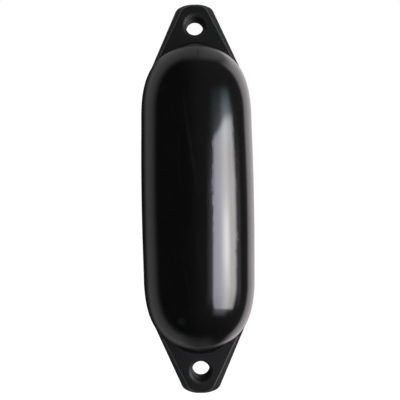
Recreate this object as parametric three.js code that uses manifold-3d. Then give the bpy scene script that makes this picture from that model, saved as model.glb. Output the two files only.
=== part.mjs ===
// Pneumatic boat fender, hung upright by its upper eye: an air-filled vinyl body with a flat
// lug and an eye at each end, all one moulding, and a screw valve in the back of its upper dome.
// Millimetres, +Z up, front towards -Y, origin at the middle of the body.
import * as THREE from 'three';
import { mergeVertices } from 'three/addons/utils/BufferGeometryUtils.js';
import Module from 'manifold-3d';

const wasm = await Module();
wasm.setup();

// Air body: a slightly swollen barrel between two full, rounded ends.
const OVERALL_LENGTH = 750;
const BODY_LENGTH = 560;
const BODY_RADIUS = 107.5;
const SHOULDER_RADIUS = 105.8;
const END_LENGTH = 144;
const END_FULLNESS = 2.76;

// Lug: a plate that grows out of the dome. Its edges slope back from a parting band in the middle
// to smaller flat faces, and its corners are rounded over a short reach of flank and tip. The
// insets are how far a face lies inside the band's outline at the root, the corners and the tip.
const LUG_THICKNESS = 29;
const FACE_ROOT_INSET = 5.5;
const FACE_CORNER_INSET = 14;
const FACE_TIP_INSET = 9.5;
const LUG_PARTING_BAND = 2;
const LUG_ROOT_HALF_WIDTH = 90;
const LUG_ROOT_DEPTH = 20;
const LUG_TIP_RADIUS = 55;
const LUG_TIP_HALF_WIDTH = 36;
const LUG_CORNER_REACH = 5;

// Eye: a round hole for the lanyard, with broad rounded mouths.
const EYE_RADIUS = 16.5;
const EYE_MOUTH_RADIUS = 7;
const EYE_TO_TIP = 47.4;

// Valve: a flanged insert in the back of the upper dome, closed by a slotted screw on a seal.
const VALVE_TILT = THREE.MathUtils.degToRad(45);
const FLANGE_RADIUS = 15;
const FLANGE_THICKNESS = 5;
const FLANGE_PROUD = 0.5;
const SLEEVE_RADIUS = 12;
const SLEEVE_LENGTH = 18;
const HEAD_RADIUS = 9.5;
const HEAD_THICKNESS = 3.2;
const HEAD_SUNK = 0.6;
const SLOT_WIDTH = 2;
const SLOT_DEPTH = 1.6;
const SHANK_RADIUS = 4.5;
const SHANK_LENGTH = 16;
const SEAL_RADIUS = 7.4;
const SEAL_CORD_RADIUS = 1.2;
const EDGE_CHAMFER = 0.8;

// Clearance that touching pieces keep to each other.
const GAP = 0.3;

// Fineness of the round shapes.
const BODY_SEGMENTS = 72;
const BARREL_STEPS = 6;
const END_STEPS = 16;
const TIP_STEPS = 7;
const CORNER_STEPS = 4;
const EYE_SEGMENTS = 40;
const MOUTH_STEPS = 5;
const VALVE_SEGMENTS = 36;
const SEAL_SEGMENTS = 10;

const HALF_LENGTH = OVERALL_LENGTH / 2;
const POLE_HEIGHT = BODY_LENGTH / 2;
const SHOULDER_HEIGHT = POLE_HEIGHT - END_LENGTH;
const EYE_HEIGHT = HALF_LENGTH - EYE_TO_TIP;
const HALF_THICKNESS = LUG_THICKNESS / 2;

const blackVinyl = new THREE.MeshStandardMaterial({ color: 0x0d0e10, roughness: 0.22, metalness: 0 });
const blackNylon = new THREE.MeshStandardMaterial({ color: 0x17181a, roughness: 0.45, metalness: 0 });
const blackRubber = new THREE.MeshStandardMaterial({ color: 0x1b1b1b, roughness: 0.8, metalness: 0 });

// Solid of a closed mesh, with the vertices that its faces share merged.
function solidOf(geometry) {
  const bare = geometry.clone();
  bare.deleteAttribute('normal');
  bare.deleteAttribute('uv');
  const merged = mergeVertices(bare, 1e-4);
  return new wasm.Manifold(new wasm.Mesh({
    numProp: 3,
    vertProperties: new Float32Array(merged.attributes.position.array),
    triVerts: new Uint32Array(merged.index.array),
  }));
}

function geometryOf(solid) {
  const mesh = solid.getMesh();
  const geometry = new THREE.BufferGeometry();
  geometry.setAttribute('position', new THREE.BufferAttribute(mesh.vertProperties, 3));
  geometry.setIndex(new THREE.BufferAttribute(mesh.triVerts, 1));
  geometry.computeVertexNormals();
  return geometry;
}

// A profile of [radius, height] pairs turned about +Z, from the lowest point upwards.
function turned(profile, segments) {
  const points = profile.map(([radius, height]) => new THREE.Vector2(radius, height));
  return new THREE.LatheGeometry(points, segments).rotateX(Math.PI / 2);
}

// Height of a rounded end's surface above the shoulder, at a radius from the axis.
function endHeight(radius) {
  const share = (radius / SHOULDER_RADIUS) ** END_FULLNESS;
  return END_LENGTH * (1 - share) ** (1 / END_FULLNESS);
}

// Point on a rounded end for an angle from the shoulder (0) to the pole (a right angle).
function endPoint(angle) {
  const radius = SHOULDER_RADIUS * Math.cos(angle) ** (2 / END_FULLNESS);
  const height = END_LENGTH * Math.sin(angle) ** (2 / END_FULLNESS);
  return [radius, SHOULDER_HEIGHT + height];
}

function bodyProfile() {
  const swell = BODY_RADIUS - SHOULDER_RADIUS;
  const barrel = Array.from({ length: BARREL_STEPS + 1 }, (_, i) => {
    const share = 2 * i / BARREL_STEPS - 1;
    return [BODY_RADIUS - swell * share * share, share * SHOULDER_HEIGHT];
  });
  const end = Array.from({ length: END_STEPS - 1 }, (_, i) => endPoint((i + 1) / END_STEPS * Math.PI / 2));
  const upper = [...end, [0, POLE_HEIGHT]];
  const lower = upper.map(([radius, height]) => [radius, -height]).reverse();
  return [...lower, ...barrel, ...upper];
}

// Outline of the upper lug in the XZ plane, from the parting band (share 0) to a face (share 1): a
// straight flank that starts below the dome's skin, a small round corner and the arched tip, then
// the same mirrored.
function lugOutline(share) {
  const tipCentre = HALF_LENGTH - LUG_TIP_RADIUS;
  const tipRadius = LUG_TIP_RADIUS - share * FACE_TIP_INSET;
  const rootHeight = SHOULDER_HEIGHT + endHeight(LUG_ROOT_HALF_WIDTH);
  const cornerHeight = tipCentre + Math.sqrt(LUG_TIP_RADIUS ** 2 - LUG_TIP_HALF_WIDTH ** 2);
  const root = new THREE.Vector2(LUG_ROOT_HALF_WIDTH - share * FACE_ROOT_INSET, rootHeight);
  const flank = new THREE.Vector2(LUG_TIP_HALF_WIDTH - share * FACE_CORNER_INSET, cornerHeight)
    .sub(root)
    .normalize();
  const start = root.addScaledVector(flank, -LUG_ROOT_DEPTH);

  // The flank's line meets the arch at the corner.
  const toCentre = new THREE.Vector2(-start.x, tipCentre - start.y);
  const along = toCentre.dot(flank);
  const reach = Math.sqrt(tipRadius ** 2 - toCentre.lengthSq() + along ** 2);
  const corner = start.clone().addScaledVector(flank, along + reach);
  const beforeCorner = corner.clone().addScaledVector(flank, -LUG_CORNER_REACH);
  const cornerAngle = Math.atan2(corner.x, corner.y - tipCentre);
  const archAngle = cornerAngle - LUG_CORNER_REACH / tipRadius;
  const onArch = (angle) => new THREE.Vector2(Math.sin(angle), Math.cos(angle))
    .multiplyScalar(tipRadius)
    .add(new THREE.Vector2(0, tipCentre));

  const rounded = new THREE.QuadraticBezierCurve(beforeCorner, corner, onArch(archAngle));
  const remaining = (step) => 1 - (step + 1) / TIP_STEPS;
  const arch = Array.from({ length: TIP_STEPS - 1 }, (_, step) => onArch(archAngle * remaining(step)));
  const right = [start, ...rounded.getPoints(CORNER_STEPS), ...arch];
  const left = right.map((point) => new THREE.Vector2(-point.x, point.y)).reverse();
  return [...right, onArch(0), ...left];
}

// Closed plate through outlines of equal length, each at its own y, with flat faces at both ends.
function platedThrough(levels) {
  const count = levels[0].outline.length;
  const positions = levels.flatMap(({ y, outline }) => outline.flatMap((point) => [point.x, y, point.y]));
  const faces = [];
  for (let level = 0; level + 1 < levels.length; level += 1) {
    for (let i = 0; i < count; i += 1) {
      const next = (i + 1) % count;
      const here = level * count;
      const there = here + count;
      faces.push(here + i, there + i, there + next, here + i, there + next, here + next);
    }
  }
  const last = (levels.length - 1) * count;
  for (const [a, b, c] of THREE.ShapeUtils.triangulateShape(levels[0].outline, [])) {
    faces.push(a, b, c);
  }
  for (const [a, b, c] of THREE.ShapeUtils.triangulateShape(levels[levels.length - 1].outline, [])) {
    faces.push(last + a, last + c, last + b);
  }
  const geometry = new THREE.BufferGeometry();
  geometry.setAttribute('position', new THREE.Float32BufferAttribute(positions, 3));
  geometry.setIndex(faces);
  return geometry;
}

function lugGeometry() {
  return platedThrough([
    { y: -HALF_THICKNESS, outline: lugOutline(1) },
    { y: -LUG_PARTING_BAND / 2, outline: lugOutline(0) },
    { y: LUG_PARTING_BAND / 2, outline: lugOutline(0) },
    { y: HALF_THICKNESS, outline: lugOutline(1) },
  ]);
}

// What the eye takes out of the upper lug: a straight throat with a quarter-round flare at each mouth.
function eyeCutter() {
  const throat = HALF_THICKNESS - EYE_MOUTH_RADIUS;
  const flare = Array.from({ length: MOUTH_STEPS + 1 }, (_, i) => {
    const angle = i / MOUTH_STEPS * Math.PI / 2;
    const radius = EYE_RADIUS + EYE_MOUTH_RADIUS * (1 - Math.cos(angle));
    return [radius, throat + EYE_MOUTH_RADIUS * Math.sin(angle)];
  });
  const mouth = EYE_RADIUS + EYE_MOUTH_RADIUS;
  const upper = [...flare, [mouth, LUG_THICKNESS], [0, LUG_THICKNESS]];
  const lower = upper.map(([radius, height]) => [radius, -height]).reverse();
  return turned([...lower, ...upper], EYE_SEGMENTS).rotateX(Math.PI / 2).translate(0, 0, EYE_HEIGHT);
}

// The valve's place: its axis is square to the skin, at the point of the dome with that slope.
function valvePlace() {
  const slope = Math.tan(VALVE_TILT) * END_LENGTH / SHOULDER_RADIUS;
  const angle = Math.atan(slope ** (END_FULLNESS / (2 * END_FULLNESS - 2)));
  const [radius, height] = endPoint(angle);
  const place = new THREE.Group();
  place.position.set(0, radius, height);
  place.rotation.x = VALVE_TILT - Math.PI / 2;
  place.updateMatrixWorld();
  return place;
}

// Heights along the valve's axis, from the skin outwards.
const FLANGE_TOP = FLANGE_PROUD;
const FLANGE_UNDERSIDE = FLANGE_TOP - FLANGE_THICKNESS;
const SLEEVE_END = FLANGE_UNDERSIDE - SLEEVE_LENGTH;
const HEAD_TOP = FLANGE_TOP - HEAD_SUNK;
const HEAD_UNDERSIDE = HEAD_TOP - HEAD_THICKNESS;
const SEAT_FLOOR = HEAD_UNDERSIDE - GAP;
const SEAL_HEIGHT = HEAD_UNDERSIDE - GAP - SEAL_CORD_RADIUS;
const GROOVE_FLOOR = SEAL_HEIGHT - SEAL_CORD_RADIUS - GAP;

function valvePocket() {
  return turned([
    [0, SLEEVE_END - GAP],
    [SLEEVE_RADIUS + GAP, SLEEVE_END - GAP],
    [SLEEVE_RADIUS + GAP, FLANGE_UNDERSIDE - GAP],
    [FLANGE_RADIUS + GAP, FLANGE_UNDERSIDE - GAP],
    [FLANGE_RADIUS + GAP, FLANGE_TOP + FLANGE_THICKNESS],
    [0, FLANGE_TOP + FLANGE_THICKNESS],
  ], VALVE_SEGMENTS);
}

function valveSeatGeometry() {
  const grooveHalf = SEAL_CORD_RADIUS + GAP;
  return turned([
    [SHANK_RADIUS + GAP, SLEEVE_END],
    [SLEEVE_RADIUS, SLEEVE_END],
    [SLEEVE_RADIUS, FLANGE_UNDERSIDE],
    [FLANGE_RADIUS, FLANGE_UNDERSIDE],
    [FLANGE_RADIUS, FLANGE_TOP - EDGE_CHAMFER],
    [FLANGE_RADIUS - EDGE_CHAMFER, FLANGE_TOP],
    [HEAD_RADIUS + GAP, FLANGE_TOP],
    [HEAD_RADIUS + GAP, SEAT_FLOOR],
    [SEAL_RADIUS + grooveHalf, SEAT_FLOOR],
    [SEAL_RADIUS + grooveHalf, GROOVE_FLOOR],
    [SEAL_RADIUS - grooveHalf, GROOVE_FLOOR],
    [SEAL_RADIUS - grooveHalf, SEAT_FLOOR],
    [SHANK_RADIUS + GAP, SEAT_FLOOR],
    [SHANK_RADIUS + GAP, SLEEVE_END],
  ], VALVE_SEGMENTS);
}

function valveSealGeometry() {
  return new THREE.TorusGeometry(SEAL_RADIUS, SEAL_CORD_RADIUS, SEAL_SEGMENTS, VALVE_SEGMENTS)
    .translate(0, 0, SEAL_HEIGHT);
}

function valveScrewGeometry() {
  const shankEnd = HEAD_UNDERSIDE - SHANK_LENGTH;
  const blank = turned([
    [0, shankEnd],
    [SHANK_RADIUS - EDGE_CHAMFER, shankEnd],
    [SHANK_RADIUS, shankEnd + EDGE_CHAMFER],
    [SHANK_RADIUS, HEAD_UNDERSIDE],
    [HEAD_RADIUS, HEAD_UNDERSIDE],
    [HEAD_RADIUS, HEAD_TOP - EDGE_CHAMFER],
    [HEAD_RADIUS - EDGE_CHAMFER, HEAD_TOP],
    [0, HEAD_TOP],
  ], VALVE_SEGMENTS);
  const slot = new THREE.BoxGeometry(2 * HEAD_RADIUS + SLOT_WIDTH, SLOT_WIDTH, 2 * SLOT_DEPTH)
    .translate(0, 0, HEAD_TOP);
  return geometryOf(solidOf(blank).subtract(solidOf(slot)));
}

// The moulding: body and both lugs in one, with the eyes and the valve's pocket cut.
function fenderBodyGeometry(place) {
  const turnOver = new THREE.Matrix4().makeRotationY(Math.PI);
  const lug = lugGeometry();
  const eye = eyeCutter();
  const solid = solidOf(turned(bodyProfile(), BODY_SEGMENTS))
    .add(solidOf(lug))
    .add(solidOf(lug.clone().applyMatrix4(turnOver)))
    .subtract(solidOf(eye))
    .subtract(solidOf(eye.clone().applyMatrix4(turnOver)))
    .subtract(solidOf(valvePocket().applyMatrix4(place.matrixWorld)));
  return geometryOf(solid);
}

function named(name, geometry, material) {
  const mesh = new THREE.Mesh(geometry, material);
  mesh.name = name;
  return mesh;
}

const valve = valvePlace();
valve.add(
  named('valve_seat', valveSeatGeometry(), blackNylon),
  named('valve_seal', valveSealGeometry(), blackRubber),
  named('valve_screw', valveScrewGeometry(), blackNylon),
);

const fender = new THREE.Group();
fender.add(named('fender_body', fenderBodyGeometry(valve), blackVinyl), valve);

export default fender;
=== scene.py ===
import math

import bpy
from mathutils import Matrix, Vector


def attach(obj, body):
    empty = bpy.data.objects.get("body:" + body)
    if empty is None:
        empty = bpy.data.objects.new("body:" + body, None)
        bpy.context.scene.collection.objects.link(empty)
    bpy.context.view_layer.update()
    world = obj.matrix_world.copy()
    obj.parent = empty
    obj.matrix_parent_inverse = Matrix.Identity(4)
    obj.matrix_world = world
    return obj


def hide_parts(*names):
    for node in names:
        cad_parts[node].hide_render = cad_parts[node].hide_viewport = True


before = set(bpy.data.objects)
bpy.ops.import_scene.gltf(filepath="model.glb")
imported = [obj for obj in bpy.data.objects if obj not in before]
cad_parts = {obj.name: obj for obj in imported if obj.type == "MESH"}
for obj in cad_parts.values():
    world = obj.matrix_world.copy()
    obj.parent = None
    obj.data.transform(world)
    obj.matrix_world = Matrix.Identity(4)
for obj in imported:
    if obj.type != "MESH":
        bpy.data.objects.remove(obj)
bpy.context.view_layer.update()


# Camera
# The photograph was taken from about 0.7 m, level with the middle of the fender and square to its
# lugs. The camera was tipped up by a degree and rolled by another, so the fender leans to the left.
CAMERA_PLACE = (0.0042, -0.697, -0.0166)
CAMERA_TILT = math.radians(90.9)
CAMERA_ROLL = math.radians(-1.06)
SENSOR_WIDTH = 36.0
FOCAL_LENGTH = 32.45
camera = bpy.data.objects.new("camera", bpy.data.cameras.new("camera"))
bpy.context.collection.objects.link(camera)
camera.data.sensor_width = SENSOR_WIDTH
camera.data.lens = FOCAL_LENGTH
camera.matrix_world = (
    Matrix.Translation(CAMERA_PLACE)
    @ Matrix.Rotation(CAMERA_TILT, 4, "X")
    @ Matrix.Rotation(CAMERA_ROLL, 4, "Z")
)
bpy.context.scene.camera = camera
bpy.context.scene.view_settings.view_transform = "Standard"


# Fender body: the air chamber
# The real fender is blow moulded from soft black vinyl in one piece, about 4 mm thick. Its barrel
# swells a little towards the middle, and its ends close in full domes. It is turned here from the
# mould's profile, as the mould itself was.
BODY_RADIUS = 0.1075
SHOULDER_RADIUS = 0.1058
SHOULDER_HEIGHT = 0.136
DOME_HEIGHT = 0.144
DOME_FULLNESS = 2.76
SHOULDER_BLEND = 0.014
SHOULDER_BLEND_SPREAD = 0.032
BARREL_STEPS = 14
DOME_STEPS = 44
ROUND_STEPS = 192
MERGE_DISTANCE = 1e-6
SEED_SIZE = 0.001


def dome_share(share):
    """Radius of a dome, as a share of its widest, at a share of its height."""
    return max(0.0, 1.0 - share ** DOME_FULLNESS) ** (1 / DOME_FULLNESS)


def mould_radius(height):
    """Radius of the mould at a height from the middle."""
    height = abs(height)
    if height <= SHOULDER_HEIGHT:
        return BODY_RADIUS - (BODY_RADIUS - SHOULDER_RADIUS) * (height / SHOULDER_HEIGHT) ** 2
    return SHOULDER_RADIUS * dome_share((height - SHOULDER_HEIGHT) / DOME_HEIGHT)


def body_radius(height):
    """Radius of the moulding, where the shoulders' slight corner has been rubbed away."""
    nearness = max(0.0, 1.0 - ((abs(height) - SHOULDER_HEIGHT) / SHOULDER_BLEND_SPREAD) ** 2)
    reach = SHOULDER_BLEND * nearness
    around = (mould_radius(height - reach), mould_radius(height), mould_radius(height + reach))
    return sum(around) / 3


def dome_top(radius):
    """Height of the upper dome's skin above the middle, at a distance from the long axis."""
    share = (radius / SHOULDER_RADIUS) ** DOME_FULLNESS
    return SHOULDER_HEIGHT + DOME_HEIGHT * (1.0 - share) ** (1 / DOME_FULLNESS)


def draw_line(points):
    """Adds a line through the points to the mesh in edit mode, with the last point selected."""
    bpy.ops.mesh.select_mode(type="VERT")
    bpy.ops.mesh.primitive_plane_add(size=SEED_SIZE)
    bpy.ops.mesh.merge(type="CENTER")
    bpy.ops.transform.translate(value=points[0])
    for start, end in zip(points, points[1:]):
        bpy.ops.mesh.extrude_vertices_move(
            TRANSFORM_OT_translate={"value": Vector(end) - Vector(start)}
        )


def start_piece(name):
    """A new empty piece at the origin, in edit mode."""
    bpy.ops.object.select_all(action="DESELECT")
    bpy.ops.mesh.primitive_plane_add(size=SEED_SIZE)
    piece = bpy.context.object
    piece.name = name
    bpy.ops.object.mode_set(mode="EDIT")
    bpy.ops.mesh.delete(type="VERT")
    return piece


def turn_about(axis, centre, steps):
    """Turns what is in edit mode once round an axis, and closes it into one skin."""
    bpy.ops.mesh.select_all(action="SELECT")
    bpy.ops.mesh.spin(steps=steps, angle=math.tau, center=centre, axis=axis)
    bpy.ops.mesh.select_all(action="SELECT")
    bpy.ops.mesh.remove_doubles(threshold=MERGE_DISTANCE)
    bpy.ops.mesh.normals_make_consistent(inside=False)


def select_nearest(place):
    """Selects only the vertex of the piece in edit mode that lies nearest to a place."""
    bpy.ops.mesh.select_mode(type="VERT")
    bpy.ops.mesh.select_all(action="DESELECT")
    bpy.ops.object.mode_set(mode="OBJECT")
    vertices = bpy.context.object.data.vertices
    nearest = min(vertices, key=lambda vertex: (vertex.co - place).length)
    nearest.select = True
    bpy.ops.object.mode_set(mode="EDIT")


def finish_editing():
    """Leaves edit mode."""
    bpy.ops.object.mode_set(mode="OBJECT")


barrel_heights = [
    SHOULDER_HEIGHT * step / BARREL_STEPS for step in range(-BARREL_STEPS, BARREL_STEPS + 1)
]
dome_angles = [math.pi / 2 * step / DOME_STEPS for step in range(1, DOME_STEPS + 1)]
dome_heights = [
    SHOULDER_HEIGHT + DOME_HEIGHT * math.sin(angle) ** (2 / DOME_FULLNESS) for angle in dome_angles
]
profile_heights = [-height for height in reversed(dome_heights)] + barrel_heights + dome_heights
body = start_piece("fender_body_skin")
draw_line([(body_radius(height), 0.0, height) for height in profile_heights])
turn_about((0, 0, 1), (0, 0, 0), ROUND_STEPS)

# Beside each lug the air pushes the dome's front and back out a little further.
BULGE_RADIUS = 0.0553
BULGE_HEIGHT = 0.2708
BULGE_SPREAD = 0.046
BULGE_PUSH_OUT = 0.0011
BULGE_PUSH_UP = 0.0021
for front in (-1, 1):
    for end in (-1, 1):
        select_nearest(Vector((0.0, front * BULGE_RADIUS, end * BULGE_HEIGHT)))
        bpy.ops.transform.translate(
            value=(0.0, front * BULGE_PUSH_OUT, end * BULGE_PUSH_UP),
            use_proportional_edit=True,
            proportional_edit_falloff="SMOOTH",
            proportional_size=BULGE_SPREAD,
        )
finish_editing()


# Fender body: the two lugs
# Each lug is a solid flat plate of the same vinyl, pinched shut by the mould, with a chamfered
# flank down each side of its faces and a round eye with a flared mouth. A soft web of vinyl fills
# the corner where the plate grows out of the dome.
LUG_TIP_HEIGHT = 0.375
LUG_TIP_RADIUS = 0.055
LUG_TIP_HALF_WIDTH = 0.0349
LUG_ROOT_HALF_WIDTH = 0.0884
LUG_ROOT_DEPTH = 0.020
LUG_HALF_THICKNESS = 0.0145
FLANK_START_DEPTH = 0.0030
FLANK_CORNER_DEPTH = 0.0094
FLANK_TIP_DEPTH = 0.0135
LUG_CORNER_REACH = 0.005
LUG_CORNER_STEPS = 6
LUG_ARCH_STEPS = 18
FACE_ROOT_INSET = 0.0055
FACE_CORNER_INSET = 0.014
FACE_TIP_INSET = 0.0095
FACE_EDGE_ROUNDING = 0.0020
EYE_HEIGHT = 0.3276
EYE_RADIUS = 0.0165
EYE_INNER_ROUNDING = 0.005
EYE_LIP_ROUNDING = 0.0085
EYE_STEPS = 96
SPOOL_RIM = 0.003
WEB_REACH = 0.0162
WEB_HALF_LENGTH = 0.057
WEB_STEPS = 38
WEB_ARC_STEPS = 9
WEB_BITE = 0.003
WEB_ROOT_DEPTH = 0.005
WEB_FOOT_DROP = 0.0014
WEB_TOP_GAP = 0.00015
WEB_LEAST_SIZE = 0.02
WEB_END_SHARE = 0.99


def lug_outline(share, side):
    """The upper lug's outline, on its parting band (share 0) or a face (share 1) of one side."""
    tip_centre = LUG_TIP_HEIGHT - LUG_TIP_RADIUS
    tip_radius = LUG_TIP_RADIUS - share * FACE_TIP_INSET
    corner_height = tip_centre + math.sqrt(LUG_TIP_RADIUS ** 2 - LUG_TIP_HALF_WIDTH ** 2)
    root = Vector((LUG_ROOT_HALF_WIDTH - share * FACE_ROOT_INSET, dome_top(LUG_ROOT_HALF_WIDTH)))
    flank = Vector((LUG_TIP_HALF_WIDTH - share * FACE_CORNER_INSET, corner_height)) - root
    flank.normalize()
    start = root - flank * LUG_ROOT_DEPTH
    to_centre = Vector((0.0, tip_centre)) - start
    along = to_centre.dot(flank)
    reach = math.sqrt(tip_radius ** 2 - to_centre.length_squared + along ** 2)
    corner = start + flank * (along + reach)
    before = corner - flank * LUG_CORNER_REACH
    arch_angle = math.atan2(corner.x, corner.y - tip_centre) - LUG_CORNER_REACH / tip_radius
    after = Vector((math.sin(arch_angle), math.cos(arch_angle))) * tip_radius
    after.y += tip_centre
    right = [(start, FLANK_START_DEPTH)]
    for step in range(LUG_CORNER_STEPS + 1):
        part = step / LUG_CORNER_STEPS
        point = before.lerp(corner, part).lerp(corner.lerp(after, part), part)
        right.append((point, FLANK_CORNER_DEPTH))
    for step in range(1, LUG_ARCH_STEPS + 1):
        part = step / LUG_ARCH_STEPS
        angle = arch_angle * (1 - part)
        point = Vector((math.sin(angle) * tip_radius, tip_centre + math.cos(angle) * tip_radius))
        right.append((point, FLANK_CORNER_DEPTH * (1 - part) + FLANK_TIP_DEPTH * part))
    left = [(Vector((-point.x, point.y)), depth) for point, depth in reversed(right[:-1])]
    return [
        (point.x, side * (LUG_HALF_THICKNESS - depth * (1 - share)), point.y)
        for point, depth in right + left
    ]


def draw_loop(points):
    """Adds a closed line through the points."""
    draw_line(points + points[:1])
    bpy.ops.mesh.select_all(action="SELECT")
    bpy.ops.mesh.remove_doubles(threshold=MERGE_DISTANCE)


def select_where(test, kind="VERT"):
    """Selects the vertices, edges or faces of the piece in edit mode whose points pass a test."""
    bpy.ops.mesh.select_mode(type=kind)
    bpy.ops.mesh.select_all(action="DESELECT")
    bpy.ops.object.mode_set(mode="OBJECT")
    mesh = bpy.context.object.data
    parts = {"VERT": mesh.vertices, "EDGE": mesh.edges, "FACE": mesh.polygons}[kind]
    for part in parts:
        corners = [part.index] if kind == "VERT" else part.vertices
        part.select = all(test(mesh.vertices[corner].co) for corner in corners)
    bpy.ops.object.mode_set(mode="EDIT")


def combine(piece, tool, operation):
    """Joins a closed shape to a piece, or cuts it out of it, and throws the shape away."""
    bpy.ops.object.select_all(action="DESELECT")
    bpy.context.view_layer.objects.active = piece
    piece.select_set(True)
    bpy.ops.object.modifier_add(type="BOOLEAN")
    cut = piece.modifiers[-1]
    cut.operation = operation
    cut.solver = "EXACT"
    cut.object = tool
    bpy.ops.object.modifier_apply(modifier=cut.name)
    bpy.data.objects.remove(tool)


def turned_over(piece):
    """A copy of an upper piece, with its own mesh, turned over about X to the lower end."""
    bpy.ops.object.select_all(action="DESELECT")
    bpy.context.view_layer.objects.active = piece
    piece.select_set(True)
    bpy.ops.object.duplicate(linked=False)
    copy = bpy.context.object
    copy.rotation_euler = (math.pi, 0.0, 0.0)
    bpy.ops.object.transform_apply(location=True, rotation=True, scale=True)
    return copy


def on_face(side):
    """A test for points on the front face (side -1) or the back face (side 1) of a lug."""
    return lambda place: abs(place.y - side * LUG_HALF_THICKNESS) < 1e-5


# The plate, as a loft through its two faces and the two edges of its parting band.
plate = start_piece("lug_plate")
for share, side in ((1.0, -1), (0.0, -1), (0.0, 1), (1.0, 1)):
    draw_loop(lug_outline(share, side))
select_where(lambda place: place.y < 0.0, "EDGE")
bpy.ops.mesh.bridge_edge_loops()
select_where(lambda place: abs(place.y) < LUG_HALF_THICKNESS - FLANK_START_DEPTH / 2, "EDGE")
bpy.ops.mesh.bridge_edge_loops()
select_where(lambda place: place.y > 0.0, "EDGE")
bpy.ops.mesh.bridge_edge_loops()
for side in (-1, 1):
    select_where(on_face(side), "EDGE")
    bpy.ops.mesh.edge_face_add()
bpy.ops.mesh.select_all(action="SELECT")
bpy.ops.mesh.normals_make_consistent(inside=False)
for side in (-1, 1):
    select_where(on_face(side), "EDGE")
    bpy.ops.mesh.bevel(offset=FACE_EDGE_ROUNDING, segments=4, profile=0.5)
finish_editing()

# The eye, as the spool that the mould's core pin leaves.
spool = start_piece("eye_spool")
inner_turning = [math.radians(degrees) for degrees in (0, 9, 18, 27, 35)]
lip_turning = [math.radians(degrees) for degrees in (41, 47, 53, 59, 65, 71, 77, 82)]
turning = inner_turning + lip_turning
flare = [(EYE_RADIUS, 0.0)]
for angle, next_angle in zip(turning, turning[1:]):
    rounding = EYE_INNER_ROUNDING if next_angle in inner_turning else EYE_LIP_ROUNDING
    radius, y = flare[-1]
    flare.append((
        radius + rounding * (math.cos(angle) - math.cos(next_angle)),
        y + rounding * (math.sin(next_angle) - math.sin(angle)),
    ))
throat = LUG_HALF_THICKNESS - flare[-1][1]
flare = [(radius, throat + y) for radius, y in flare]
last_radius, last_y = flare[-1]
flare.append((last_radius + SPOOL_RIM, last_y + SPOOL_RIM / math.tan(turning[-1])))
flare.append((last_radius + SPOOL_RIM, LUG_HALF_THICKNESS * 2))
flare.append((0.0, LUG_HALF_THICKNESS * 2))
spool_profile = [(radius, -y, EYE_HEIGHT) for radius, y in reversed(flare)]
spool_profile += [(radius, y, EYE_HEIGHT) for radius, y in flare]
draw_line(spool_profile)
turn_about((0, 1, 0), (0, 0, EYE_HEIGHT), EYE_STEPS)
finish_editing()
combine(plate, spool, "DIFFERENCE")

# The web in the corner between the plate's front and the dome, as a section drawn along the corner.
def web_size(x):
    """Size of the web's section at a distance to the side, as a share of its size in the middle."""
    return max(WEB_LEAST_SIZE, 1 - (x / WEB_HALF_LENGTH) ** 2)


def web_corner(x):
    """Place of the corner between the plate's front and the dome, at a distance to the side."""
    return Vector((x, -LUG_HALF_THICKNESS, dome_top(math.hypot(x, LUG_HALF_THICKNESS))))


web = start_piece("lug_web")
web_section = [(WEB_BITE, WEB_REACH)]
for step in range(WEB_ARC_STEPS + 1):
    part = step / WEB_ARC_STEPS
    web_section.append((
        WEB_TOP_GAP * (1 - part) - WEB_REACH * part ** 2,
        WEB_REACH * (1 - part) ** 2 - WEB_FOOT_DROP * part ** 2,
    ))
web_section += [(-WEB_REACH, -WEB_ROOT_DEPTH), (WEB_BITE, -WEB_ROOT_DEPTH)]
web_places = [
    WEB_HALF_LENGTH * (2 * step / WEB_STEPS - 1) * WEB_END_SHARE for step in range(WEB_STEPS + 1)
]
first_corner = web_corner(web_places[0])
first_size = web_size(web_places[0])
draw_loop([
    tuple(first_corner + Vector((0.0, y, z)) * first_size) for y, z in web_section
])
bpy.ops.mesh.select_all(action="SELECT")
bpy.ops.mesh.edge_face_add()
for before_x, after_x in zip(web_places, web_places[1:]):
    bpy.ops.mesh.extrude_region_move(
        TRANSFORM_OT_translate={"value": web_corner(after_x) - web_corner(before_x)}
    )
    growth = web_size(after_x) / web_size(before_x)
    bpy.ops.transform.resize(
        value=(1.0, growth, growth), center_override=web_corner(after_x)
    )
bpy.ops.mesh.select_all(action="SELECT")
bpy.ops.mesh.normals_make_consistent(inside=False)
finish_editing()

lower_plate = turned_over(plate)
lower_back_web = turned_over(web)
bpy.ops.object.select_all(action="DESELECT")
for one in (web, lower_back_web):
    bpy.context.view_layer.objects.active = one
    one.select_set(True)
bpy.ops.object.duplicate(linked=False)
other_webs = list(bpy.context.selected_objects)
for one in other_webs:
    one.rotation_euler = (0.0, 0.0, math.pi)
bpy.ops.object.transform_apply(location=True, rotation=True, scale=True)
for tool in (plate, lower_plate, web, lower_back_web, *other_webs):
    combine(body, tool, "UNION")

# The pocket for the valve, square to the back of the upper dome where that slopes by 45 degrees.
POCKET_GAP = 0.0003
VALVE_TILT = math.radians(45)
FLANGE_RADIUS = 0.015
FLANGE_TOP = 0.0005
FLANGE_UNDERSIDE = -0.0045
SLEEVE_RADIUS = 0.012
SLEEVE_END = -0.0225
POCKET_MOUTH = 0.006

valve_slope = math.tan(VALVE_TILT) * DOME_HEIGHT / SHOULDER_RADIUS
valve_angle = math.atan(valve_slope ** (DOME_FULLNESS / (2 * DOME_FULLNESS - 2)))
valve_place = Vector((
    0.0,
    SHOULDER_RADIUS * math.cos(valve_angle) ** (2 / DOME_FULLNESS),
    SHOULDER_HEIGHT + DOME_HEIGHT * math.sin(valve_angle) ** (2 / DOME_FULLNESS),
))
valve_turn = VALVE_TILT - math.pi / 2


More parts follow.
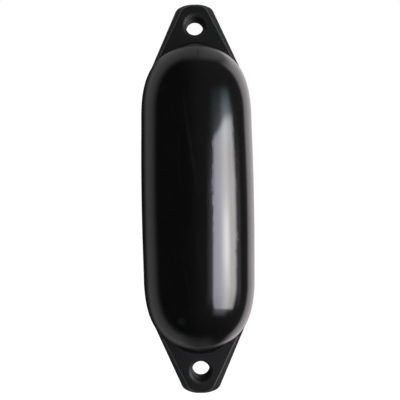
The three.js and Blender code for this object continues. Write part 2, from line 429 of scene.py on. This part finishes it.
def turn_upright(name, profile, steps=72):
    """A round piece from its (radius, height) profile, turned about Z at the origin."""
    piece = start_piece(name)
    draw_line([(radius, 0.0, height) for radius, height in profile])
    turn_about((0, 0, 1), (0, 0, 0), steps)
    return piece


def set_in_dome(piece):
    """Moves a piece that was made upright at the origin to the valve's place in the dome."""
    piece.rotation_euler = (valve_turn, 0.0, 0.0)
    piece.location = valve_place
    bpy.ops.object.select_all(action="DESELECT")
    bpy.context.view_layer.objects.active = piece
    piece.select_set(True)
    bpy.ops.object.transform_apply(location=True, rotation=True, scale=True)


pocket = turn_upright("valve_pocket", [
    (0.0, SLEEVE_END - POCKET_GAP),
    (SLEEVE_RADIUS + POCKET_GAP, SLEEVE_END - POCKET_GAP),
    (SLEEVE_RADIUS + POCKET_GAP, FLANGE_UNDERSIDE - POCKET_GAP),
    (FLANGE_RADIUS + POCKET_GAP, FLANGE_UNDERSIDE - POCKET_GAP),
    (FLANGE_RADIUS + POCKET_GAP, POCKET_MOUTH),
    (0.0, POCKET_MOUTH),
])
finish_editing()
set_in_dome(pocket)
combine(body, pocket, "DIFFERENCE")


# Fender body: its vinyl
# The vinyl is black right through. The air chamber has the gloss of a polished mould, with fine
# scuffs and wipe marks, and the pinched lugs are duller.
class Strand:
    """A value in a finish, wrapped so that sums on it are written as sums."""

    def __init__(self, recipe, socket):
        self.recipe = recipe
        self.socket = socket

    def __add__(self, other):
        return self.recipe.maths("ADD", self, other)

    def __sub__(self, other):
        return self.recipe.maths("SUBTRACT", self, other)

    def __mul__(self, other):
        return self.recipe.maths("MULTIPLY", self, other)

    def __truediv__(self, other):
        return self.recipe.maths("DIVIDE", self, other)

    def __pow__(self, other):
        return self.recipe.maths("POWER", self, other)

    def __radd__(self, other):
        return self.recipe.maths("ADD", other, self)

    def __rsub__(self, other):
        return self.recipe.maths("SUBTRACT", other, self)

    def __rmul__(self, other):
        return self.recipe.maths("MULTIPLY", other, self)

    def __abs__(self):
        return self.recipe.maths("ABSOLUTE", self)


class Recipe:
    """The node tree of one finish, built up from nothing."""

    def __init__(self, tree):
        self.tree = tree
        self.tree.nodes.clear()

    def node(self, kind, settings=None, inputs=None, output=0):
        """Adds a node: its settings first, then its sockets. Returns one of its outputs."""
        made = self.tree.nodes.new(kind)
        for name, value in (settings or {}).items():
            setattr(made, name, value)
        for name, value in (inputs or {}).items():
            if isinstance(value, Strand):
                self.tree.links.new(value.socket, made.inputs[name])
            else:
                made.inputs[name].default_value = value
        if not made.outputs:
            return None
        return Strand(self, made.outputs[output])

    def parts(self, vector):
        """The X, Y and Z of a vector."""
        split = self.node("ShaderNodeSeparateXYZ", {}, {"Vector": vector}).socket.node
        return [Strand(self, part) for part in split.outputs]

    def maths(self, operation, first, second=0.0):
        """One sum on one or two values."""
        return self.node("ShaderNodeMath", {"operation": operation}, {0: first, 1: second})

    def rise(self, value, low, high):
        """0 up to low, 1 from high, and smooth between them."""
        limits = {"Value": value, "From Min": low, "From Max": high}
        return self.node("ShaderNodeMapRange", {"interpolation_type": "SMOOTHSTEP"}, limits)

    def between(self, value, edges):
        """1 between the second and third of four edges, 0 outside the first and last."""
        first, second, third, last = edges
        return self.rise(value, first, second) * (1.0 - self.rise(value, third, last))

    def colour(self, share, low, high):
        """A colour mixed from two, by a share."""
        return self.node(
            "ShaderNodeMix", {"data_type": "RGBA"}, {0: share, 6: low, 7: high}, output=2
        )

    def noise(self, place, scale, detail=2.0, stretch=(1.0, 1.0, 1.0)):
        """Noise with this many features a metre, drawn out by the stretch."""
        spread = self.node("ShaderNodeMapping", {}, {"Vector": place, "Scale": stretch})
        return self.node("ShaderNodeTexNoise", {}, {
            "Vector": spread, "Scale": scale, "Detail": detail,
        })


def new_finish(name):
    """A new material with an empty recipe."""
    material = bpy.data.materials.new(name)
    material.use_nodes = True
    return material, Recipe(material.node_tree)


VINYL_GLOSS = 0.035
VINYL_SATIN = 0.43
BODY_DARK = (0.0038, 0.0040, 0.0039, 1.0)
BODY_PALE = (0.0052, 0.0053, 0.0053, 1.0)
SMEAR_GREY = (0.0100, 0.0102, 0.0103, 1.0)
PAINTED_REFLECTION_GREY = (0.0135, 0.0148, 0.0142, 1.0)
LUG_FACE_BLACK = (0.0084, 0.0094, 0.0090, 1.0)
LUG_FLANK_SHADE_BLACK = (0.0048, 0.0054, 0.0052, 1.0)
EDGE_HIGHLIGHT_GREY = (0.095, 0.096, 0.096, 1.0)
SMEAR_SLANT = 0.136
PAINTED_REFLECTION_PLACE = (-0.0303, -0.0950, -0.2085)
RIPPLE_HEIGHT = 0.00004
WRINKLE_HEIGHT = 0.00022
PEBBLE_HEIGHT = 0.00003
vinyl, recipe = new_finish("black_vinyl")
place = recipe.node("ShaderNodeTexCoord", output="Object")
x, y, z = recipe.parts(place)

# Where the lugs and the webs are: what lies outside the dome's own shape.
from_axis = recipe.maths("SQRT", x * x + y * y)
up_dome = recipe.maths("MAXIMUM", (abs(z) - SHOULDER_HEIGHT) / DOME_HEIGHT, 0.0)
across_dome = (from_axis / SHOULDER_RADIUS) ** DOME_FULLNESS
fullness = across_dome + up_dome ** DOME_FULLNESS
dome_share_left = recipe.maths("MAXIMUM", 1.0 - across_dome, 0.0)
over_dome = abs(z) - SHOULDER_HEIGHT - DOME_HEIGHT * dome_share_left ** (1 / DOME_FULLNESS)
web_rise = recipe.maths("MAXIMUM", WEB_REACH * (1.0 - (x / WEB_HALF_LENGTH) ** 2.0) - 0.0012, 0.0)
off_web = recipe.rise(over_dome - web_rise, -0.0004, 0.0008)
on_lug = recipe.rise(fullness, 1.03, 1.10) * off_web * recipe.rise(abs(y), 0.0160, 0.0149)
beside_lug = recipe.rise(abs(z), 0.250, 0.266) * recipe.rise(abs(y), 0.030, 0.036)
eye_distance = recipe.maths("SQRT", x * x + (abs(z) - EYE_HEIGHT) ** 2.0)
outside_eye = recipe.rise(eye_distance, 0.0250, 0.0262)
in_eye = recipe.rise(eye_distance, 0.0250, 0.0230)
# Each lug's left flank is painted a darker black than its face and right flank, as painted shade
# for light falling from the right. It is also made less rough.
shaded_left_flank = recipe.rise(abs(y), 0.0134, 0.0120) * outside_eye * recipe.rise(x, 0.01, -0.01)

# The grain of the surface, and two patches of fine wrinkles on the front.
scuffs = recipe.noise(place, 90.0, 4.0, (1.0, 1.0, 0.08))
haze = recipe.noise(place, 14.0, 3.0)
ripple = recipe.noise(place, 30.0, 2.0, (1.0, 1.0, 0.45))
pebble = recipe.noise(place, 900.0, 2.0)
wrinkles = recipe.noise(place, 330.0, 3.0, (1.0, 1.0, 1.2))
patches = recipe.rise(recipe.noise(place, 38.0, 1.0), 0.42, 0.62)
wrinkled_right = recipe.between(x, (0.056, 0.061, 0.071, 0.078))
wrinkled_right = wrinkled_right * recipe.between(z, (-0.15, -0.10, 0.10, 0.125))
wrinkled_middle = recipe.between(x, (0.010, 0.015, 0.024, 0.028))
wrinkled_middle = wrinkled_middle * recipe.between(z, (-0.10, -0.04, 0.088, 0.100))
wrinkled = (wrinkled_right + wrinkled_middle) * patches * recipe.rise(y, -0.070, -0.078)

# Marks on the front: wiped smears, a painted reflection of a small light low down and a fine dark
# line at the top.
slant = x + SMEAR_SLANT * z
long_smear = recipe.between(slant, (-0.0016, 0.0012, 0.0024, 0.0052))
long_smear = long_smear * recipe.between(z, (-0.01, 0.03, 0.15, 0.175))
wiped = recipe.node("ShaderNodeCombineXYZ", {}, {"X": slant, "Y": 0.3 * y, "Z": 0.06 * z})
faint_smears = recipe.rise(recipe.noise(wiped, 110.0, 2.0), 0.56, 0.74)
faint_smears = faint_smears * recipe.between(x, (-0.05, -0.02, 0.0, 0.02))
short_smear = recipe.between(x, (-0.0308, -0.0292, -0.0280, -0.0264))
short_smear = short_smear * recipe.between(z, (0.02, 0.04, 0.09, 0.11))
smear = long_smear + 0.5 * faint_smears + 0.5 * short_smear
smear = smear * recipe.rise(y, -0.08, -0.09) * (0.45 + 0.55 * patches)
# A round patch low on the front is painted a lighter grey as a painted reflection of a small light.
# It is also made a little rougher.
painted_reflection_distance = recipe.node(
    "ShaderNodeVectorMath", {"operation": "DISTANCE"}, {0: place, 1: PAINTED_REFLECTION_PLACE}, output="Value"
)
painted_reflection = 1.0 - recipe.rise(painted_reflection_distance + 0.006 * wrinkles, 0.005, 0.013)
dark_line = recipe.between(x + 0.0006 * wrinkles, (0.0038, 0.0048, 0.0056, 0.0066))
dark_line = dark_line * recipe.between(z, (0.236, 0.240, 0.251, 0.256))
dark_line = dark_line * recipe.rise(y, -0.05, -0.06)

# A painted highlight along the rounded edge of each lug's face, outside the eye and short of the
# tip.
painted_edge_highlight = recipe.between(abs(y), (0.0133, 0.0137, 0.0141, 0.0144)) * on_lug
painted_edge_highlight = painted_edge_highlight * outside_eye * recipe.rise(abs(z), 0.366, 0.361)

gloss = VINYL_GLOSS + 0.02 * recipe.rise(scuffs, 0.55, 0.75)
roughness = gloss + on_lug * (VINYL_SATIN - VINYL_GLOSS + 0.1 * (haze - 0.5))
roughness = roughness + 0.26 * beside_lug + 0.10 * painted_reflection + 0.4 * dark_line
roughness = roughness + 0.17 * on_lug * in_eye - 0.15 * on_lug * shaded_left_flank
body_black = recipe.colour(recipe.rise(haze, 0.35, 0.7), BODY_DARK, BODY_PALE)
body_black = recipe.colour(smear, body_black, SMEAR_GREY)
body_black = recipe.colour(painted_reflection, body_black, PAINTED_REFLECTION_GREY)
# The lugs' black: painted shade on the left flank, and a painted highlight on the face edges.
lug_black = recipe.colour(shaded_left_flank, LUG_FACE_BLACK, LUG_FLANK_SHADE_BLACK)
lug_black = recipe.colour(painted_edge_highlight, lug_black, EDGE_HIGHLIGHT_GREY)
base = recipe.colour(on_lug, body_black, lug_black)
bump = recipe.node("ShaderNodeBump", {}, {
    "Strength": 1.0,
    "Distance": 1.0,
    "Height": (RIPPLE_HEIGHT * ripple + WRINKLE_HEIGHT * wrinkles * wrinkled) * (1.0 - on_lug)
    + PEBBLE_HEIGHT * pebble * on_lug,
})
shader = recipe.node("ShaderNodeBsdfPrincipled", {}, {
    "Base Color": base,
    "Roughness": roughness,
    "IOR": 1.65,
    "Coat Weight": (1.0 - on_lug) * (1.0 - 0.7 * beside_lug) * (1.0 - dark_line),
    "Coat Roughness": 0.15,
    "Coat IOR": 1.45,
    "Normal": bump,
})
recipe.node("ShaderNodeOutputMaterial", {}, {"Surface": shader})
body.data.materials.clear()
body.data.materials.append(vinyl)

# Smooth everywhere but at the lugs' corners, with the big flat faces keeping their own direction.
bpy.ops.object.select_all(action="DESELECT")
bpy.context.view_layer.objects.active = body
body.select_set(True)
bpy.ops.object.shade_smooth_by_angle(angle=math.radians(38))
bpy.ops.object.modifier_add(type="WEIGHTED_NORMAL")
body.modifiers[-1].keep_sharp = True
bpy.ops.object.modifier_apply(modifier=body.modifiers[-1].name)

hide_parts("fender_body")
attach(body, "root")


# Valve seat
# The seat is a moulded nylon insert that the vinyl grips round its sleeve and flange. The screw's
# hole runs down its middle, and a round recess in its top takes the seal and the screw's head.
def round_edges(piece, offset):
    """Rounds every corner of the piece in edit mode, and smooths it."""
    bpy.ops.mesh.select_mode(type="EDGE")
    bpy.ops.mesh.select_all(action="DESELECT")
    bpy.ops.mesh.edges_select_sharp(sharpness=math.radians(25))
    bpy.ops.mesh.bevel(offset=offset, segments=3, profile=0.5)
    bpy.ops.mesh.select_all(action="SELECT")
    bpy.ops.mesh.normals_make_consistent(inside=False)
    finish_editing()
    bpy.ops.object.select_all(action="DESELECT")
    bpy.context.view_layer.objects.active = piece
    piece.select_set(True)
    bpy.ops.object.shade_smooth_by_angle(angle=math.radians(35))


def turned_ring(name, section):
    """A ring from its closed (radius, height) section, turned about Z and left in edit mode."""
    piece = start_piece(name)
    draw_loop([(radius, 0.0, height) for radius, height in section])
    turn_about((0, 0, 1), (0, 0, 0), RING_STEPS)
    return piece


BORE_RADIUS = 0.0048
RECESS_RADIUS = 0.0098
RECESS_FLOOR = -0.0036
GROOVE_RADII = (0.0059, 0.0089)
GROOVE_FLOOR = -0.0063
FLANGE_CHAMFER = 0.0008
SEAT_EDGE_ROUNDING = 0.0002
RING_STEPS = 96
NYLON_DARK = (0.018, 0.018, 0.019, 1.0)
NYLON_PALE = (0.023, 0.023, 0.024, 1.0)
NYLON_GRAIN_HEIGHT = 0.00001
seat = turned_ring("valve_seat_insert", [
    (BORE_RADIUS, SLEEVE_END),
    (SLEEVE_RADIUS, SLEEVE_END),
    (SLEEVE_RADIUS, FLANGE_UNDERSIDE),
    (FLANGE_RADIUS, FLANGE_UNDERSIDE),
    (FLANGE_RADIUS, FLANGE_TOP - FLANGE_CHAMFER),
    (FLANGE_RADIUS - FLANGE_CHAMFER, FLANGE_TOP),
    (RECESS_RADIUS, FLANGE_TOP),
    (RECESS_RADIUS, RECESS_FLOOR),
    (GROOVE_RADII[1], RECESS_FLOOR),
    (GROOVE_RADII[1], GROOVE_FLOOR),
    (GROOVE_RADII[0], GROOVE_FLOOR),
    (GROOVE_RADII[0], RECESS_FLOOR),
    (BORE_RADIUS, RECESS_FLOOR),
])
round_edges(seat, SEAT_EDGE_ROUNDING)
set_in_dome(seat)

nylon, recipe = new_finish("black_nylon")
place = recipe.node("ShaderNodeTexCoord", output="Object")
grain = recipe.noise(place, 2600.0, 3.0)
cloud = recipe.noise(place, 120.0, 2.0)
bump = recipe.node("ShaderNodeBump", {}, {
    "Strength": 1.0, "Distance": 1.0, "Height": NYLON_GRAIN_HEIGHT * grain,
})
shader = recipe.node("ShaderNodeBsdfPrincipled", {}, {
    "Base Color": recipe.colour(cloud, NYLON_DARK, NYLON_PALE),
    "Roughness": 0.36 + 0.12 * cloud,
    "IOR": 1.53,
    "Normal": bump,
})
recipe.node("ShaderNodeOutputMaterial", {}, {"Surface": shader})
seat.data.materials.clear()
seat.data.materials.append(nylon)
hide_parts("valve_seat")
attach(seat, "root")


# Valve seal
# The seal is a moulded rubber ring of round section, with the faint flash of its mould round the
# outside and the inside. It lies in the groove of the seat, under the screw's head.
SEAL_RADIUS = 0.0074
SEAL_CORD = 0.0012
SEAL_HEIGHT = -0.0048
SEAL_FLASH = 0.00006
CORD_STEPS = 32
RUBBER_DARK = (0.026, 0.026, 0.026, 1.0)
RUBBER_DUSTY = (0.036, 0.036, 0.035, 1.0)
seal_section = []
for step in range(CORD_STEPS):
    angle = math.tau * step / CORD_STEPS
    on_parting_line = step in (0, CORD_STEPS // 2)
    cord = SEAL_CORD + (SEAL_FLASH if on_parting_line else 0.0)
    seal_section.append((
        SEAL_RADIUS + cord * math.cos(angle),
        SEAL_HEIGHT + cord * math.sin(angle),
    ))
seal = turned_ring("valve_seal_ring", seal_section)
finish_editing()
bpy.ops.object.shade_smooth_by_angle(angle=math.radians(35))
set_in_dome(seal)

rubber, recipe = new_finish("black_rubber")
place = recipe.node("ShaderNodeTexCoord", output="Object")
dust = recipe.noise(place, 400.0, 3.0)
shader = recipe.node("ShaderNodeBsdfPrincipled", {}, {
    "Base Color": recipe.colour(dust, RUBBER_DARK, RUBBER_DUSTY),
    "Roughness": 0.66 + 0.16 * dust,
    "IOR": 1.5,
})
recipe.node("ShaderNodeOutputMaterial", {}, {"Surface": shader})
seal.data.materials.clear()
seal.data.materials.append(rubber)
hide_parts("valve_seal")
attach(seal, "root")


# Valve screw
# The screw is moulded from the same nylon. A coin or a screwdriver turns it by the slot across its
# head, which lies just under the seat's rim and presses the seal.
SHANK_RADIUS = 0.0045
SHANK_END = -0.0193
HEAD_RADIUS = 0.0095
HEAD_UNDERSIDE = -0.0033
HEAD_TOP = -0.0001
EDGE_CHAMFER = 0.0008
SLOT_WIDTH = 0.002
SLOT_DEPTH = 0.0016
SCREW_EDGE_ROUNDING = 0.00015
screw = turn_upright("valve_screw_moulding", [
    (0.0, SHANK_END),
    (SHANK_RADIUS - EDGE_CHAMFER, SHANK_END),
    (SHANK_RADIUS, SHANK_END + EDGE_CHAMFER),
    (SHANK_RADIUS, HEAD_UNDERSIDE),
    (HEAD_RADIUS, HEAD_UNDERSIDE),
    (HEAD_RADIUS, HEAD_TOP - EDGE_CHAMFER),
    (HEAD_RADIUS - EDGE_CHAMFER, HEAD_TOP),
    (0.0, HEAD_TOP),
], steps=RING_STEPS)
finish_editing()
slot_cutter = start_piece("slot_cutter")
bpy.ops.mesh.primitive_cube_add(size=1.0)
bpy.ops.transform.resize(value=(HEAD_RADIUS * 3, SLOT_WIDTH, SLOT_DEPTH * 2))
bpy.ops.transform.translate(value=(0.0, 0.0, HEAD_TOP))
finish_editing()
combine(screw, slot_cutter, "DIFFERENCE")
bpy.ops.object.mode_set(mode="EDIT")
round_edges(screw, SCREW_EDGE_ROUNDING)
set_in_dome(screw)
screw.data.materials.clear()
screw.data.materials.append(nylon)
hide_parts("valve_screw")
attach(screw, "root")


# Studio
# The fender hangs in front of white paper over a pale floor. One tall soft box on the right gives
# the long highlight; cloth behind on the right lights that rim, and dim paper the left one.
WHITE = (1.0, 1.0, 1.0, 1.0)
BLACK = (0.0, 0.0, 0.0, 1.0)
BOX_TINT_LEFT = (1.0, 0.98, 1.17, 1.0)
BOX_TINT_RIGHT = (1.02, 1.0, 0.995, 1.0)
BOX_LIGHT = 3.32
CLOTH_LIGHT = 0.68
PAPER_LIGHT = 0.19
CEILING_LIGHT = 0.15
ROOM_LIGHT = 0.011
SIDE_LIGHT_LEFT = (0.30, 0.30, 0.305, 1.0)
SIDE_LIGHT_RIGHT = (0.80, 0.80, 0.815, 1.0)
TO_DEGREES = 180 / math.pi
world = bpy.data.worlds.new("studio")
bpy.context.scene.world = world
world.use_nodes = True
recipe = Recipe(world.node_tree)
right, back, up = recipe.parts(recipe.node("ShaderNodeTexCoord", output="Generated"))
turn = recipe.maths("ARCTAN2", right, 0.0 - back) * TO_DEGREES
rise = recipe.maths("ARCSINE", up) * TO_DEGREES

# The soft box, between its edges in degrees, with a bright ridge where its lamp is.
box_top = 12.4 + 2.9 * recipe.rise(turn, 26.0, 62.0)
under = recipe.maths("MINIMUM", rise + 15.0, 0.0)
left_edge = recipe.rise(turn - 0.2 * (rise + 5.0) - 0.03 * under * under, 26.0, 33.0)
right_edge = recipe.rise(turn + 0.01 * (rise + 4.0) ** 2.0, 74.0, 85.0)
in_box = left_edge * (1.0 - right_edge) * recipe.rise(rise, -30.5, -27.5)
in_box = in_box * recipe.rise(box_top - rise, -0.9, 0.9)
ridge = recipe.between(turn, (42.0, 57.0, 57.0, 69.0))
ridge = ridge * (1.3 + 2.3 * recipe.between(rise, (-16.0, -9.0, -5.0, 3.0)))
box_fade = 1.0 - 0.1 * recipe.rise(rise, 2.0, 10.0) - 0.25 * (1.0 - recipe.rise(rise, -26.0, -10.0))
box_light = in_box * ((BOX_LIGHT + 0.6 * recipe.rise(turn, 34.0, 46.0)) * box_fade + ridge)
box_tint = recipe.colour(recipe.rise(turn, 30.0, 58.0), BOX_TINT_LEFT, BOX_TINT_RIGHT)

# The bluish light that spills on the wall over the soft box, and the glow beside and under it.
spill = 0.15 * recipe.between(turn, (24.0, 40.0, 62.0, 80.0))
spill = spill * recipe.between(rise, (8.0, 12.0, 20.0, 33.0))
spill_middle = 0.8 * recipe.between(turn, (44.0, 60.0, 64.0, 76.0))
spill_middle = spill_middle * recipe.rise(rise, 10.0, 15.0) * (1.0 - recipe.rise(rise, 14.0, 31.0))
spill = spill + spill_middle
glow = 0.3 * recipe.between(turn - 0.2 * (rise + 5.0), (14.0, 26.0, 27.0, 31.0))
glow = glow + 0.22 * recipe.between(turn, (80.0, 86.0, 89.0, 95.0))
glow = glow * recipe.between(rise, (-32.0, -14.0, 2.0, 18.0))
under_box = 0.7 * recipe.between(rise, (-39.0, -30.0, -29.0, -27.0))
glow = glow + under_box * recipe.between(turn, (24.0, 38.0, 50.0, 68.0))

# The rest of the room: cloth at the right, paper at the left, the ceiling and the dark front.
low = recipe.rise(up, 0.1, -0.1)
right_side = recipe.rise(right, 0.08, 0.36)
right_cloth = recipe.rise(back + (0.8 - 0.5 * low) * up * up, 0.36, 0.54)
right_cloth = right_cloth * (CLOTH_LIGHT - 0.2 * recipe.rise(back, 0.7, 1.0))
right_cloth = right_cloth * recipe.between(up, (-0.90, -0.68, 0.66, 0.90))
left_paper = recipe.rise(back + (0.32 - 0.05 * low) * up * up, -0.10, 0.26)
left_paper = left_paper * (1.0 - recipe.rise(back, 0.42, 0.76))
left_paper = left_paper * (PAPER_LIGHT - 0.10 * recipe.rise(0.0 - up, 0.88, 1.0))
ceiling = CEILING_LIGHT + 0.08 * recipe.rise(right, 0.0, 0.3)
ceiling = ceiling * recipe.rise(up + 0.35 * back, 0.75, 0.93)
cloth = right_side * right_cloth
sides = cloth + (1.0 - right_side) * left_paper
dark_front = ROOM_LIGHT + 0.034 * recipe.rise(right, -0.40, 0.20)
dark_front = dark_front * (1.0 - 0.6 * recipe.rise(0.0 - up, 0.5, 0.9))
dark_front = dark_front + 0.004 * recipe.rise(up, 0.0, 0.12) * recipe.rise(right, -0.15, 0.20)
room_light = dark_front + recipe.maths("MAXIMUM", ceiling, sides)
box_white = recipe.node("ShaderNodeCombineColor", {}, {
    "Red": box_light, "Green": box_light, "Blue": box_light,
})
box_colour = recipe.node(
    "ShaderNodeMix", {"data_type": "RGBA", "blend_type": "MULTIPLY"},
    {0: 1.0, 6: box_tint, 7: box_white}, output=2,
)
room_colour = recipe.node("ShaderNodeCombineColor", {}, {
    "Red": room_light + glow + 0.80 * spill + 0.06 * cloth,
    "Green": room_light + 0.97 * glow + spill,
    "Blue": room_light + 1.12 * glow + 1.15 * spill + 0.02 * cloth,
})
reflected = recipe.node(
    "ShaderNodeMix", {"data_type": "RGBA", "blend_type": "ADD"},
    {0: 1.0, 6: box_colour, 7: room_colour}, output=2,
)

# Shiny surfaces see the room, matt ones an even light that is stronger from the right, and the
# camera the white paper.
camera_ray = recipe.node("ShaderNodeLightPath", output="Is Camera Ray")
glossy_ray = recipe.node("ShaderNodeLightPath", output="Is Glossy Ray")
even_light = recipe.colour(recipe.rise(right, -1.0, 1.0), SIDE_LIGHT_LEFT, SIDE_LIGHT_RIGHT)
lit = recipe.colour(glossy_ray, even_light, reflected)
seen = recipe.colour(camera_ray, lit, WHITE)
shader = recipe.node("ShaderNodeBackground", {}, {"Color": seen, "Strength": 1.0})
recipe.node("ShaderNodeOutputWorld", {}, {"Surface": shader})
world.cycles.sampling_method = "AUTOMATIC"

# The floor, a third of a metre under the hanging fender. Only the camera sees it.
FLOOR_SIZE = 14.0
FLOOR_HEIGHT = -0.72
FLOOR_GREY = (0.8, 0.8, 0.8, 1.0)
FLOOR_GLOW = (0.62, 0.62, 0.62, 1.0)
bpy.ops.object.select_all(action="DESELECT")
bpy.ops.mesh.primitive_plane_add(size=FLOOR_SIZE, location=(0.0, 0.0, FLOOR_HEIGHT))
floor = bpy.context.object
floor.name = "floor"
paper, recipe = new_finish("floor_paper")
camera_ray = recipe.node("ShaderNodeLightPath", output="Is Camera Ray")
matt = recipe.node("ShaderNodeBsdfDiffuse", {}, {"Color": FLOOR_GREY})
floor_glow = recipe.colour(camera_ray, BLACK, FLOOR_GLOW)
glowing = recipe.node("ShaderNodeEmission", {}, {"Color": floor_glow, "Strength": 1.0})
both = recipe.node("ShaderNodeAddShader", {}, {0: matt, 1: glowing})
recipe.node("ShaderNodeOutputMaterial", {}, {"Surface": both})
floor.data.materials.append(paper)
floor.visible_glossy = False
floor.visible_diffuse = False
floor.visible_shadow = False
